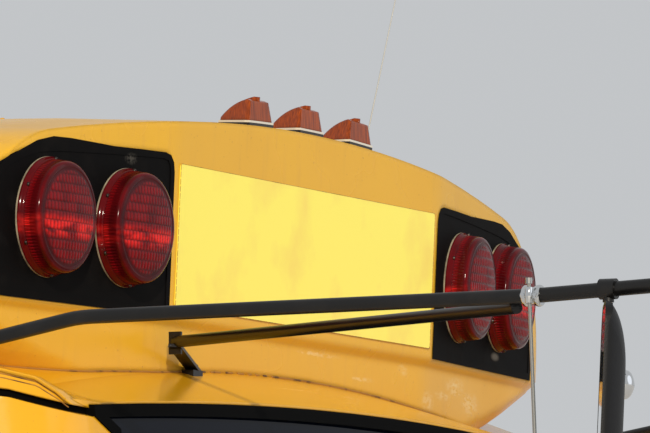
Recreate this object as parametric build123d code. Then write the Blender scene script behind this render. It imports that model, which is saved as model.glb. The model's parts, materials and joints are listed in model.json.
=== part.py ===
from build123d import *
import os
from math import radians, degrees, sin, cos, tan, asin, sqrt, atan2, pi

# Front end section of a transit-style school bus body, above the belt line.
# Millimetres, +Z up, front of the bus towards -Y, the bus's right side at -X.
# Everything is laid out about the middle of the front sign, on the warning lamps' centre line,
# and moved at the end so that the origin is on the rear joint face, at the crown.
os.makedirs("parts", exist_ok=True)

# body outline, seen from the front
crown_radius = 5700.0
wall = 28.0
joint_y = 340.0
crown_at_joint = 209.0
joint_face_z = crown_at_joint - wall / 2
# bolt holes in the hoop and in the posts' rear faces
bolt_hole_r = 5.5
hoop_bolt_x = 250.0
hoop_bolt_z = 159.0
post_bolt_z = (-500.0, -1000.0)
# rows: y, crown height, where the shoulder starts, shoulder radius
roof_rows = [
    dict(y=-60.0, crown=189.0, shoulder_x=846.0, shoulder_r=214.0),
    dict(y=60.0, crown=197.0, shoulder_x=860.0, shoulder_r=262.0),
    dict(y=205.0, crown=205.5, shoulder_x=892.0, shoulder_r=362.0),
    dict(y=joint_y, crown=crown_at_joint, shoulder_x=892.0, shoulder_r=362.0),
]

# face of the cap: flat in the middle, turned back at the lamp pods, then the corner
lean = radians(2.6)
pod_start = 501.0
pod_turn = radians(6.0)
pod_blend_r = 500.0
face_reach = 900.0
cap_side = 1199.0
# below the soft step under the sign the face sits further back, and the corner opens into a cone:
# level, how far the face is set back, where each pod's flat face ends
face_rows = [
    dict(z=300.0, set_back=0.0, pod_end=1048.0),
    dict(z=-122.0, set_back=0.0, pod_end=1048.0),
    dict(z=-126.0, set_back=2.0, pod_end=1046.0),
    dict(z=-131.0, set_back=6.5, pod_end=1042.0),
    dict(z=-136.0, set_back=11.0, pod_end=1036.0),
    dict(z=-140.0, set_back=12.0, pod_end=1030.0),
    dict(z=-160.0, set_back=12.0, pod_end=950.0),
    dict(z=-180.0, set_back=12.0, pod_end=868.0),
    dict(z=-200.0, set_back=12.0, pod_end=775.0),
    dict(z=-220.0, set_back=12.0, pod_end=675.0),
    dict(z=-245.0, set_back=12.0, pod_end=600.0),
    dict(z=-330.0, set_back=12.0, pod_end=590.0),
]

# header shelf between the cap and the windshield
# rows of its arched top: y, height on the centre line, fall at the corner, where the arch ends
shelf_rows = [
    dict(y=-160.0, top=-254.6, fall=44.0, corner=1050.0),
    dict(y=22.0, top=-188.0, fall=60.4, corner=880.0),
    dict(y=420.0, top=-42.3, fall=60.4, corner=880.0),
]
shelf_thick = 26.0
corner_x = 1050.0
screen_apex_y = -148.0
screen_plan_r = 18860.0
header_lip = 3.0

# windshield and the panels round it
rake = radians(8.0)
glass_thick = 7.0
screen_top_z = -250.5
glass_top_z = -260.5
glass_bottom_z = -1096.0
glass_half = 984.0
glass_ear = 1039.0
ear_edge = 6.4
glass_ear_z = -331.0
arch_r = 14200.0
glass_corner_r = 90.0
glass_set_back = 6.0
seal_width = 7.0
seal_bite = 12.0
seal_proud = 3.0
seal_thick = 19.0
surround_thick = 30.0
surround_back = 60.0
post_inner_x = 940.0
cowl_split_z = -1128.0
cowl_bottom_z = -1268.0
band_height = 11.0
# joint between shelf and corner post, seen from the side: y, z
joint_line = [(-200, -321), (-119.8, -297), (-51.5, -276), (60, -262), (345, -258)]
joint_x = 1046.0
joint_fall = 0.3
# top of the drip rail that stands on that joint, and the bead along it
rail_line = [(-119.8, -296.5), (-104, -275), (-84, -257), (-44.5, -246), (60, -240), (345, -238)]
rail_proud = 4.0
rail_bead = 9.0

# signs and lamps
sign_length = 968.0
sign_height = 216.0
sign_thick = 2.0
panel_recess = 1.0
panel_thick = 8.0
lamp_spots = [635.0, 858.0]
gasket_r = 91.0
gasket_height = 6.0
lens_base_r = 87.0
lens_face_r = 77.0
lens_depth = 28.5
lens_wall = 4.0
lens_ribs = 40
lens_dome = 6.0
bowl_r = 74.0
bowl_depth = 62.0
marker_spots = [-190.0, 0.0, 190.0]
marker_y = -4.5
marker_roof_z = 192.7
marker_pitch = 3.8
foot_height = 7.5

# mirror arms, right side; the left side is its mirror image
arm_r = 10.5
brace_r = 9.0
rod_r = 2.8
arm_route = [(-1213, 130, -240), (-1230, -190, -180), (-1250, -900, -173), (-1250, -1086, -164)]
clamp_at = (-1250, -900, -173)
rod_side = 16.0
rod_foot = (-1162, -896, -1136)
low_arm_r = 8.0
low_arm_route = [(-1210, -20, -1196), (-1213, -230, -1194), (-1205, -700, -1180), (-1172, -896, -1136)]
# the right brace starts at a strap bolted to the seam, the left one at the corner post
brace_from = (-510, -8, -163)
brace_to = (-1243, -872, -188)
strap_foot = (-394, 12, -200)
strap_width = 20.0
strap_thick = 5.0
left_brace_from = (1214, 22, -700)
head_at = (-1250, -1013, -167)
boss_height = 8.0
boss_bore = 6.0
head_turn = 24.0
head_tilt = 2.5
head_width = 176.0
head_height = 392.0
head_depth = 28.0

# wipers
wiper_pivot_x = 705.0
wiper_pivot_z = -1128.0
wiper_reach = 560.0
wiper_lift = 6.0

shift = Location((0, -joint_y, -joint_face_z))


def keep(name, shape):
    export_step(shift * shape, "parts/" + name + ".step")


def roof_section(y, crown, shoulder_x, shoulder_r, inset=0.0, bottom=-320.0):
    """Outline of the roof and shoulders at one station, square to the bus's length."""
    big = crown_radius - inset
    small = shoulder_r - inset
    turn = asin(shoulder_x / crown_radius)
    centre_z = crown - crown_radius
    xs = big * sin(turn)
    zs = centre_z + big * cos(turn)
    cx = xs - small * sin(turn)
    cz = zs - small * cos(turn)
    mid = (turn + pi / 2) / 2
    mx = cx + small * sin(mid)
    mz = cz + small * cos(mid)
    side = cx + small
    edges = [
        ThreePointArc((-xs, zs), (0, crown - inset), (xs, zs)),
        ThreePointArc((xs, zs), (mx, mz), (side, cz)),
        Line((side, cz), (side, bottom)),
        Line((side, bottom), (-side, bottom)),
        Line((-side, bottom), (-side, cz)),
        ThreePointArc((-side, cz), (-mx, mz), (-xs, zs)),
    ]
    return Plane.XZ.offset(-y) * make_face(edges)


def roof_solid(inset=0.0):
    rows = [roof_section(inset=inset, **row) for row in roof_rows]
    return loft(rows, ruled=True)


def plan_edges(side, back, out, pod_end):
    """Path of the cap's face on one side at one level, moved outwards by out."""
    turn = pod_turn
    corner_r = (cap_side - pod_end) / (1 - sin(turn))
    run = pod_blend_r * tan(turn / 2)
    rb = pod_blend_r + out
    x1 = pod_start - run
    y3 = (pod_end - pod_start) * tan(turn)
    cx = pod_end - corner_r * sin(turn)
    cy = y3 + corner_r * cos(turn)
    mid = (turn + pi / 2) / 2
    rc = corner_r + out
    blend = lambda a: (side * (x1 + rb * sin(a)), pod_blend_r - rb * cos(a))
    corner = lambda a: (side * (cx + rc * sin(a)), cy - rc * cos(a))
    rear = (side * (cx + rc), back)
    return [
        Line((0, -out), (side * x1, -out)),
        ThreePointArc((side * x1, -out), blend(turn / 2), blend(turn)),
        Line(blend(turn), corner(turn)),
        ThreePointArc(corner(turn), corner(mid), corner(pi / 2)),
        Line(corner(pi / 2), rear),
    ], rear


def plan_face(back, out, pod_end):
    """Everything behind the cap's face, seen from above."""
    right, right_rear = plan_edges(-1, back, out, pod_end)
    left, left_rear = plan_edges(1, back, out, pod_end)
    return make_face(right + left + [Line(right_rear, left_rear)])


def face_at(z):
    return -z * tan(lean)


def front_region(out=0.0):
    """Solids behind the cap's outer face: leaning face, soft step, corner cones."""
    faces = []
    for row in face_rows:
        y = face_at(row["z"]) + row["set_back"]
        faces.append(Location((0, y, row["z"])) * plan_face(face_reach, out, row["pod_end"]))
    return [loft([a, b], ruled=True) for a, b in zip(faces, faces[1:])]


def fused(solids):
    whole = solids[0]
    for solid in solids[1:]:
        whole = whole + solid
    return whole


def below_shelf(drop=0.0):
    """Everything under the shelf's arched, forward-falling top surface, lowered by drop."""
    faces = []
    for row in shelf_rows:
        mid = row["top"] - drop
        end = mid - row["fall"]
        cx = row["corner"]
        deep = -1000
        faces.append(Plane.XZ.offset(-row["y"]) * make_face([
            ThreePointArc((-cx, end), (0, mid), (cx, end)),
            Line((cx, end), (1300, end)),
            Line((1300, end), (1300, deep)),
            Line((1300, deep), (-1300, deep)),
            Line((-1300, deep), (-1300, end)),
            Line((-1300, end), (-cx, end)),
        ]))
    return loft(faces, ruled=True)


def front_plan(inset=0.0, back=joint_y):
    """Plan of the shelf's front edge, windshield and corner posts, out to the body side."""
    rp = screen_plan_r
    turn = asin(corner_x / rp)
    rc = (cap_side - corner_x) / (1 - sin(turn))
    cy = screen_apex_y + rp
    ccx = corner_x - rc * sin(turn)
    ccy = cy - rp * cos(turn) + rc * cos(turn)
    big = rp - inset
    small = rc - inset
    mid = (turn + pi / 2) / 2
    a = (big * sin(turn), cy - big * cos(turn))
    m = (ccx + small * sin(mid), ccy - small * cos(mid))
    b = (ccx + small, ccy)
    edges = [ThreePointArc((-a[0], a[1]), (0, cy - big), a), Line((-b[0], back), (b[0], back))]
    for s in (1, -1):
        edges.append(ThreePointArc((s * a[0], a[1]), (s * m[0], m[1]), (s * b[0], b[1])))
        edges.append(Line((s * b[0], b[1]), (s * b[0], back)))
    return make_face(edges)


def raked_ring(outer, inner, top, bottom):
    """Upright band that follows the windshield's curve and rake, between two insets."""
    ring = front_plan(outer) - front_plan(inner, joint_y + 1)
    start = Location((0, (top - screen_top_z) * tan(rake), top))
    return extrude(start * ring, amount=(top - bottom) / cos(rake), dir=(0, -tan(rake), -1))


def arch(z, x):
    return z - (arch_r - sqrt(arch_r ** 2 - x ** 2))


def screen_outline(grow):
    """The windshield's front view: arched top, eared upper corners, round lower ones."""
    ear = glass_ear + grow * (1 if grow > 0 else 3)
    hx = glass_half + grow
    top = glass_top_z + grow
    ear_z = glass_ear_z - grow * 0.63
    ear_foot = arch(top, ear) - max(1.0, ear_edge + grow * 1.56)
    bot = glass_bottom_z - grow
    r = glass_corner_r + grow
    k = r * (1 - sqrt(0.5))
    edges = [
        ThreePointArc((-ear, arch(top, ear)), (0, top), (ear, arch(top, ear))),
        Line((-hx + r, bot), (hx - r, bot)),
    ]
    for s in (1, -1):
        edges.append(Line((s * ear, arch(top, ear)), (s * ear, ear_foot)))
        edges.append(Line((s * ear, ear_foot), (s * hx, ear_z)))
        edges.append(Line((s * hx, ear_z), (s * hx, bot + r)))
        edges.append(ThreePointArc((s * hx, bot + r), (s * (hx - k), bot + k), (s * (hx - r), bot)))
    return make_face(edges)


def through_front(face):
    return extrude(Plane.XZ.offset(-150) * face, amount=600)


def outboard_prism(line, far_z):
    """Everything outboard of the windshield's corners between a side-view line and a level."""
    pts = [(-600, line[0][1] - (line[0][0] + 600) * joint_fall)] + list(line) + [(line[-1][0], far_z), (-600, far_z)]
    face = Plane.YZ * make_face(Polyline(*pts, close=True))
    left = Location((joint_x, 0, 0)) * extrude(face, amount=200)
    right = Location((-joint_x - 200, 0, 0)) * extrude(face, amount=200)
    return left + right


def tube(route, radius, bends=()):
    """Round tube along straight runs joined by tangent arcs."""
    line = FilletPolyline(*route, radius=list(bends)) if bends else Line(*route)
    profile = Plane(origin=line @ 0, z_dir=line % 0) * Circle(radius)
    return sweep(profile, path=line)


def pod_plane(side, depth=0.0):
    """Plane of the pod's face at the lamp line, x across the bus, z out of the face."""
    x_dir = Vector(cos(pod_turn), side * sin(pod_turn), 0)
    z_dir = x_dir.cross(Vector(0, -sin(lean), cos(lean))).normalized()
    return Plane(origin=Vector(side * pod_start, 0, 0) - z_dir * depth, x_dir=x_dir, z_dir=z_dir)


def pod_x(x):
    return (x - pod_start) / cos(pod_turn)


def panel_outline(side, grow=0.0):
    """Lamp panel: square lower corners, a small inner top round and a large outer one."""
    g = grow
    x0 = 2 - g
    x1 = 541 + g
    low = -123 - g
    d = g * 0.7
    p = lambda x, z: (side * x, z)
    return make_face([
        Line(p(x0, low), p(x1, low)),
        Line(p(x1, low), p(x1, -36)),
        ThreePointArc(p(x1, -36), p(508 + d, 57 + d), p(434, 93 + g)),
        ThreePointArc(p(434, 93 + g), p(302, 110 + g), p(178, 116 + g)),
        Line(p(178, 116 + g), p(30, 121 + g)),
        ThreePointArc(p(30, 121 + g), p(x0 + 8, 113 + d), p(x0, 93)),
        Line(p(x0, 93), p(x0, low)),
    ])


def slab(plane, face, amount):
    return extrude(plane * face, amount=amount, dir=plane.z_dir)


# cap shell: outer and inner forms share one construction
cap_outer = fused(front_region()) & roof_solid()
cap_inner = fused(front_region(-wall)) & roof_solid(wall)
shelf_under = below_shelf()
cap_outer -= shelf_under
cap_full = cap_outer
cap_shell = cap_outer - cap_inner
print("cap shell", round(cap_shell.volume / 1e6, 1), len(cap_shell.solids()))

pocket = panel_recess + panel_thick
lamps = []
for side, name in ((-1, "right"), (1, "left")):
    cap_shell -= slab(pod_plane(side, pocket), panel_outline(side), pocket + 20)
    panel = slab(pod_plane(side, pocket), panel_outline(side), panel_thick)
    for spot in lamp_spots:
        here = Location((side * pod_x(spot), 0, 0))
        hole = pod_plane(side, 90) * here * Cylinder(bowl_r + 1, 110, align=(Align.CENTER, Align.CENTER, Align.MIN))
        cap_shell -= hole
        panel -= hole
        lamps.append(Plane(pod_plane(side, panel_recess) * here))
    keep("lamp_panel_" + name, panel)
print("cap cut", round(cap_shell.volume / 1e6, 1), len(cap_shell.solids()))

# warning lamps, numbered from the bus's right side
def turned(profile):
    return revolve(Plane.XZ * profile, axis=Axis.Z)


def ring_face(points):
    return make_face(Polyline(*points, close=True))


def domed(a, b):
    """Arc between two (radius, height) points whose centre is on the lamp's axis."""
    c = (b[0] ** 2 + b[1] ** 2 - a[0] ** 2 - a[1] ** 2) / (2 * (b[1] - a[1]))
    r = sqrt(a[0] ** 2 + (a[1] - c) ** 2)
    t = (atan2(a[1] - c, a[0]) + atan2(b[1] - c, b[0])) / 2
    return ThreePointArc(a, (r * cos(t), c + r * sin(t)), b)


g = gasket_height
gasket = turned(ring_face([
    (bowl_r + 6, 0), (gasket_r, 0), (gasket_r, g - 4), (gasket_r - 3, g), (bowl_r + 6, g)]))
rim_z = g
drum_z = g + lens_depth - 5
face_z = drum_z + 5
top_z = face_z + lens_dome
lens = turned(make_face([
    Line((lens_base_r, rim_z), (lens_base_r - 1, rim_z + 6)),
    Line((lens_base_r - 1, rim_z + 6), (lens_face_r + 3, drum_z)),
    ThreePointArc((lens_face_r + 3, drum_z), (lens_face_r + 1.536, drum_z + 3.536), (lens_face_r - 2, face_z)),
    domed((lens_face_r - 2, face_z), (0, top_z)),
    Line((0, top_z), (0, top_z - lens_wall)),
    domed((0, top_z - lens_wall), (lens_face_r - 5, face_z - lens_wall)),
    Line((lens_face_r - 5, face_z - lens_wall), (lens_base_r - 7, rim_z)),
    Line((lens_base_r - 7, rim_z), (lens_base_r, rim_z)),
]))
for k in range(lens_ribs):
    turn = Rotation(0, 0, 360 * k / lens_ribs)
    lens -= turn * Location((lens_base_r - 2.2, 0, rim_z + 15), (0, -14, 0)) * Cylinder(2.2, lens_depth - 14)
deep = -bowl_depth
bowl = turned(make_face([
    Line((bowl_r + 5, 0), (bowl_r + 5, 3)),
    Line((bowl_r + 5, 3), (bowl_r - 3, 3)),
    domed((bowl_r - 3, 3), (12, deep + 4)),
    Line((12, deep + 4), (12, deep * 0.55)),
    domed((12, deep * 0.55), (0, deep * 0.15)),
    Line((0, deep * 0.15), (0, deep - 6)),
    Line((0, deep - 6), (18, deep - 6)),
    domed((18, deep - 6), (bowl_r, 0)),
    Line((bowl_r, 0), (bowl_r + 5, 0)),
]))
lamps.sort(key=lambda lamp: lamp.origin.X)
bowls = []
for number, at in enumerate(lamps, 1):
    keep("warning_gasket_%d" % number, at * gasket)
    keep("warning_lens_%d" % number, at * lens)
    bowls.append(at * bowl)
keep("lamp_bowls", Compound(bowls))

# blank sheet for the front sign
sign_plane = Plane(origin=(0, 0, 0), x_dir=(1, 0, 0), z_dir=(0, -cos(lean), -sin(lean)))
sign = slab(sign_plane, RectangleRounded(sign_length, sign_height, 6), sign_thick)
keep("sign_sheet", sign)

# clearance lamps along the top front edge: a wide front that narrows to a tail,
# laid out from the middle of the front edge, y towards the tail
def marker_outline(half, front, shoulder, tail_half, tail):
    points = [(-half, front), (half, front), (half - 2, shoulder), (tail_half, tail)]
    return make_face(Polyline(*points, (-tail_half, tail), (-half + 2, shoulder), close=True))


def marker_profile(points, width, low):
    """Side profile: straight lip, curve down to the tail, given as (y, z) points."""
    lip, crest, waist, toe = points
    face = make_face([
        Line((-9, low), (-9, lip[1])), Line((-9, lip[1]), lip), Line(lip, crest),
        ThreePointArc(crest, waist, toe), Line(toe, (toe[0], low)), Line((toe[0], low), (-9, low)),
    ])
    return extrude(Plane.YZ * face, amount=width / 2, both=True)


marker_body = loft([
    marker_outline(42, 0, 8, 9, 64),
    Location((0, 0, 40)) * marker_outline(30, 4.6, 11, 5, 60)], ruled=True)
marker_body &= marker_profile([(4, 30.5), (10, 33), (40, 22.5), (66, 2)], 100, 0)
marker_fin = marker_profile([(4, 37.5), (12, 38), (38, 27.5), (64, 4)], 4, 0)
marker_fin -= Location((0, 3.5, 50)) * Box(20, 30, 100, align=(Align.CENTER, Align.MAX, Align.CENTER))
marker_room = loft([
    Location((0, 0, -1)) * marker_outline(39, 3, 9.5, 7, 61),
    Location((0, 0, 37)) * marker_outline(27, 7, 12.5, 3, 57)], ruled=True)
marker_room &= marker_profile([(4, 27.5), (10, 30), (40, 19.5), (62, 1)], 100, -1)
marker_lens = marker_body + marker_fin - marker_room
marker_foot = Location((0, 0, -8)) * extrude(marker_outline(44, -2, 8, 11, 66), foot_height + 8)
feet = []
for number, x in enumerate(marker_spots, 1):
    roof_turn = asin(x / crown_radius)
    roof_z = marker_roof_z - crown_radius * (1 - cos(roof_turn))
    place = Location((x, marker_y, roof_z), (marker_pitch, degrees(roof_turn), 0))
    feet.append(place * marker_foot - cap_full)
    keep("clearance_lens_%d" % number, place * Location((0, 0, foot_height)) * marker_lens)
keep("clearance_feet", Compound(feet))

# header shelf: skin under the arched surface, with side drops to the joint line
shelf_plan = extrude(front_plan(), amount=600, both=True)
shelf_inner = extrude(front_plan(shelf_thick, joint_y + 1), amount=600, both=True)
header = (shelf_under & shelf_plan) - (below_shelf(shelf_thick) & shelf_inner)


def lip_prism(level):
    """Between the shelf's arched front lip and a level, across the windshield's width."""
    z = arch(screen_top_z - header_lip, joint_x)
    face = make_face([
        ThreePointArc((-joint_x, z), (0, screen_top_z - header_lip), (joint_x, z)),
        Line((joint_x, z), (joint_x, level)),
        Line((joint_x, level), (-joint_x, level)),
        Line((-joint_x, level), (-joint_x, z)),
    ])
    return extrude(Plane.XZ.offset(-600) * face, amount=1400)


header -= lip_prism(-1500)
header -= outboard_prism(joint_line, -1400)
print("header", round(header.volume / 1e6, 1), len(header.solids()))
keep("header_shelf", header)
keep("cap_shell", cap_shell)

# windshield, seal, posts and cowl
glass = raked_ring(glass_set_back, glass_set_back + glass_thick, -240, -1300) & through_front(screen_outline(0))
seal = raked_ring(-seal_proud, seal_thick - seal_proud, -240, -1300) & through_front(
    screen_outline(seal_width) - screen_outline(-seal_bite))
seal -= glass
surround = raked_ring(0, surround_thick, -240, -1400) - through_front(screen_outline(seal_width))
surround &= Location((0, 0, cowl_bottom_z)) * Box(3000, 3000, 2000, align=(Align.CENTER, Align.CENTER, Align.MIN))
surround &= Location((0, surround_back, -800)) * Box(3000, 1200, 2000, align=(Align.CENTER, Align.MAX, Align.CENTER))
surround -= lip_prism(200)
surround -= outboard_prism([(y, z - band_height) for y, z in joint_line], 400)
print("surround", round(surround.volume / 1e6, 1), len(surround.solids()))
print("glass", len(glass.solids()), "seal", len(seal.solids()))
keep("windshield_glass", glass)
keep("windshield_seal", seal)
posts = {}
for s, name in ((-1, "right"), (1, "left")):
    zone = Location((s * (post_inner_x + 300), 0, cowl_split_z + 750)) * Box(600, 3000, 1500)
    post = surround & zone
    for z in post_bolt_z:
        post -= Location((s * (cap_side - surround_thick / 2), surround_back, z), (90, 0, 0)) * Cylinder(bolt_hole_r, 80)
    surround -= zone
    keep("corner_post_" + name, post)
    print(name, "post", len(post.solids()), round(post.volume / 1e6, 1))
cowl = surround
print("cowl", len(cowl.solids()), round(cowl.volume / 1e6, 1))

# rubber band in the joint, and the drip rail above it
skin = lambda outer, inner: extrude(front_plan(outer), amount=700, both=True) - extrude(
    front_plan(inner, joint_y + 1), amount=700, both=True)


def raised(line, by):
    return [(y, z + by) for y, z in line]


def strip(outer, inner, low_line, high_line):
    """Strip of the body's outer skin round each corner, between two lines seen from the side."""
    return skin(outer, inner) & (outboard_prism(low_line, 400) - outboard_prism(high_line, 400))


keep("joint_bands", strip(5, 20, raised(joint_line, -band_height), joint_line))
rails = strip(-rail_proud, rail_proud, raised(joint_line, 1), rail_line)
rails += strip(-rail_bead, 0, raised(rail_line, -4), rail_line) & outboard_prism(raised(joint_line, 1), 400)
rails -= header
for s in (-1, 1):
    rails -= Location((s * cap_side, arm_route[0][1], arm_route[0][2])) * Box(80, 120, 80)
keep("drip_rails", rails)
print("rails", len(rails.solids()))

# hoop and lining that close the cap's rear
stations = lambda y0, y1: Location((0, (y0 + y1) / 2, 0)) * Box(3000, y1 - y0, 3000)
bow = (roof_solid(wall) - roof_solid(wall + 32)) & stations(joint_y - 28, joint_y)
bow &= extrude(plan_face(joint_y, -wall, face_rows[0]["pod_end"]), amount=600, both=True)
bow &= Location((0, 0, -80)) * Box(3000, 3000, 800, align=(Align.CENTER, Align.CENTER, Align.MIN))
for x in (-hoop_bolt_x, hoop_bolt_x):
    bow -= Location((x, joint_y, hoop_bolt_z), (90, 0, 0)) * Cylinder(bolt_hole_r, 80)
keep("front_bow", bow)
lining = cap_inner & stations(joint_y - 40, joint_y - 28)
lining -= shelf_under
keep("inner_lining", lining)
print("bow", len(bow.solids()), "lining", len(lining.solids()), round(lining.volume / 1e6, 1))

# dash top behind the windshield's foot
dash_z = -1120.0
dash = raked_ring(surround_thick, surround_thick + 110, dash_z + 8, dash_z - 22)
dash &= Location((0, -20, 0)) * Box(3000, 700, 3000, align=(Align.CENTER, Align.MAX, Align.CENTER))
keep("dash_top", dash)
print("dash", len(dash.solids()))

# whip antenna
antenna_x = 428.0
antenna_y = 90.0
antenna_lean = 12.8
mast_z = crown_radius * (cos(asin(antenna_x / crown_radius)) - 1) + 199.0
mast_up = (Align.CENTER, Align.CENTER, Align.MIN)
mast_foot = Location((antenna_x, antenna_y, mast_z - 8)) * Cylinder(15, 20, align=mast_up) - cap_full
mast_spring = Location((antenna_x, antenna_y, mast_z + 12)) * Cylinder(5.5, 24, align=mast_up)
whip = Location((antenna_x, antenna_y, mast_z + 35), (antenna_lean, 0, 0)) * Cone(1.2, 0.7, 470, align=mast_up)
antenna = mast_foot.solids().sort_by(Axis.Z)[-1] + mast_spring + whip
keep("antenna", antenna)
print("antenna", len(antenna.solids()))


def keep_pair(name, shape):
    keep(name + "_right", shape)
    keep(name + "_left", mirror(shape, about=Plane.YZ))


# mirror arm of the right side
arm = tube(arm_route, arm_r, (240, 600))
foot_y = arm_route[0][1]
plate = Location((-cap_side - 3, foot_y, arm_route[0][2])) * Box(6, 90, 46)
keep_pair("arm_tube", arm + plate)
brace = tube([brace_from, brace_to], brace_r) - arm
strap_top = Vector(*brace_from) + Vector(0, -4, -brace_r - 1)
strap_run = strap_top - Vector(*strap_foot)
strap_plane = Plane(origin=strap_foot, x_dir=strap_run, z_dir=strap_run.cross(Vector(0, 1, 0)))
strap = strap_plane * Location((strap_run.length / 2 + 4, 0, 0)) * Box(strap_run.length + 24, strap_width, strap_thick)
bracket = strap + Location((strap_foot[0] - 14, strap_foot[1] - 2, strap_foot[2] - 6)) * Box(34, strap_width, 14)
bracket += Location((brace_from[0] - 6, brace_from[1] - 4, brace_from[2] - 2)) * Box(strap_thick, strap_width, 34)
bracket = bracket - shelf_under - cap_full - brace
keep("brace_bracket_right", bracket.solids().sort_by(SortBy.VOLUME)[-1])
print("bracket", len(bracket.solids()))
keep("arm_brace_right", brace)
left_brace_to = (-brace_to[0], brace_to[1], brace_to[2])
left_brace = tube([left_brace_from, left_brace_to], brace_r) - mirror(arm, about=Plane.YZ)
left_foot = Location((cap_side + 3, left_brace_from[1], left_brace_from[2])) * Box(6, 60, 44)
left_foot += Location((cap_side + 14, left_brace_from[1] + 4, left_brace_from[2])) * Box(22, 20, 26)
keep("brace_bracket_left", left_foot - left_brace)
keep("arm_brace_left", left_brace)
ring = Cylinder(arm_r + 4, 9) - Cylinder(arm_r, 20)
cx, cy, cz = clamp_at
saddle = Location((cx, cy - 9, cz), (90, 0, 0)) * ring + Location((cx, cy + 9, cz), (90, 0, 0)) * ring
saddle += Location((cx - arm_r - 4, cy, cz)) * Box(9, 26, 20)
rod_top = (cx - rod_side, cy, cz + 20)
rod = tube([rod_top, rod_foot], rod_r)
rod += Location(rod_top) * Cylinder(5, 8)
saddle = saddle - rod - arm - brace
keep_pair("arm_clamp", saddle)
keep_pair("stay_rod", rod)
low = tube(low_arm_route, low_arm_r, (60, 300))
low += Location((-cap_side - 3, low_arm_route[0][1], low_arm_route[0][2])) * Box(6, 70, 44)
low -= rod
low -= cowl
keep_pair("lower_arm", low)
print("arm", len((arm + plate).solids()), "saddle", len(saddle.solids()), "low", len(low.solids()))

# mirror head: hangs from a collar on the arm and turns about an upright axis
hx, hy, hz = head_at
collar = Location(head_at, (90, 0, 0)) * (Cylinder(arm_r + 4, 24) - Cylinder(arm_r, 60))
boss_z = hz - arm_r - boss_height
collar += Location((hx, hy, boss_z)) * Cylinder(8, boss_height, align=(Align.CENTER, Align.CENTER, Align.MIN))
collar -= arm
collar -= Location((hx, hy, boss_z)) * Cylinder(4.4, boss_bore, align=(Align.CENTER, Align.CENTER, Align.MIN))
keep_pair("head_collar", collar)
head_top = boss_z - 1
face = RectangleRounded(head_width, head_height, 38)
shell = extrude(face, amount=head_depth)
shell = fillet(shell.faces().sort_by(Axis.Z)[-1].edges(), head_depth - 6)
shell -= Location((0, 0, -1)) * extrude(RectangleRounded(head_width - 10, head_height - 10, 33), amount=4.2)
glass_plate = Location((0, 0, 0.4)) * extrude(RectangleRounded(head_width - 10.4, head_height - 10.4, 32.8), amount=2.8)
knob = Location((0, 84, head_depth - 3)) * Cylinder(20, 10, align=(Align.CENTER, Align.CENTER, Align.MIN))
knob = fillet(knob.faces().sort_by(Axis.Z)[-1].edges(), 6)
shell += knob
# local z of the head points forward and away from its glass
seat = Location((hx, hy, head_top)) * Rotation(0, 0, head_turn) * Rotation(head_tilt, 0, 0)
lay = seat * Location((0, 0, -head_height / 2 - 0.5)) * Rotation(90, 0, 0) * Location((0, 0, -6))
pin = Location((hx, hy, head_top - 9)) * Cylinder(6.5, 9, align=(Align.CENTER, Align.CENTER, Align.MIN))
pin += Location((hx, hy, head_top - 9)) * Cylinder(4, 14, align=(Align.CENTER, Align.CENTER, Align.MIN))
head = lay * shell + pin
head -= lay * glass_plate
keep_pair("mirror_shell", head)
keep_pair("mirror_glass", lay * glass_plate)
print("head", len(head.solids()), head.bounding_box())


def screen_plane(x, z, lift):
    """Plane on the windshield surround's outer surface, z out of the glass, y up the glass."""
    yaw = asin(x / screen_plan_r)
    y = screen_apex_y + screen_plan_r * (1 - cos(yaw)) + (z - screen_top_z) * tan(rake)
    x_dir = Vector(cos(yaw), sin(yaw), 0)
    up = Vector(0, sin(rake), cos(rake))
    z_dir = x_dir.cross(up).normalized()
    return Plane(origin=Vector(x, y, z) + z_dir * lift, x_dir=x_dir, z_dir=z_dir)


# right wiper, parked along the windshield's foot
blade_x = -430.0
base = screen_plane(blade_x, wiper_pivot_z, 0)
spot = base.to_local_coords(Vector(-wiper_pivot_x, screen_plane(-wiper_pivot_x, wiper_pivot_z, 0).origin.Y, wiper_pivot_z))
px = spot.X
py = spot.Y
low_z = spot.Z
spindle = Location((px, py, low_z - 12)) * Cylinder(11, 12 + 12, align=(Align.CENTER, Align.CENTER, Align.MIN))
spindle += Location((px, py, low_z)) * Cylinder(5, 30, align=(Align.CENTER, Align.CENTER, Align.MIN))
spindle = base * spindle
hub = Location((px, py, low_z + 12.5)) * Cylinder(15, 24, align=(Align.CENTER, Align.CENTER, Align.MIN))
hub -= Location((px, py, low_z)) * Cylinder(5.3, 32, align=(Align.CENTER, Align.CENTER, Align.MIN))
hub_top = low_z + 12.5 + 24
blade_y = 74.0
mid_x = 0.0
arm_z = 22.0
run = sqrt((mid_x - px) ** 2 + (blade_y - py) ** 2)
slope = degrees(atan2(blade_y - py, mid_x - px))
arm_bar = Location((px, py, arm_z), (0, 0, slope)) * (Location((run / 2 + 4, 0, 0)) * Box(run - 12, 13, 6))
arm_bar -= Location((px, py, low_z)) * Cylinder(5.3, 60, align=(Align.CENTER, Align.CENTER, Align.MIN))
wiper_arm = base * (hub + arm_bar)
holder = Location((mid_x, blade_y, arm_z - 3 - 5)) * Box(40, 12, 10)
spine = Location((mid_x, blade_y, 15)) * Box(wiper_reach, 9, 3)
rubber = Location((mid_x, blade_y, 11)) * Box(wiper_reach, 4, 5)
wiper_blade = base * (holder + spine + rubber)
keep_pair("wiper_arm", wiper_arm)
keep_pair("wiper_blade", wiper_blade)
keep_pair("wiper_spindle", spindle)
cowl = cowl - spindle - mirror(spindle, about=Plane.YZ)
keep("cowl_panel", cowl)
print("wiper pivot", base.from_local_coords(Vector(px, py, 0)), "axis", base.z_dir)
print("wiper arm", len(wiper_arm.solids()), "blade", len(wiper_blade.solids()))
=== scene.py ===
import json
import math
import random

import bmesh
import bpy
from mathutils import Matrix, Vector


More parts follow.
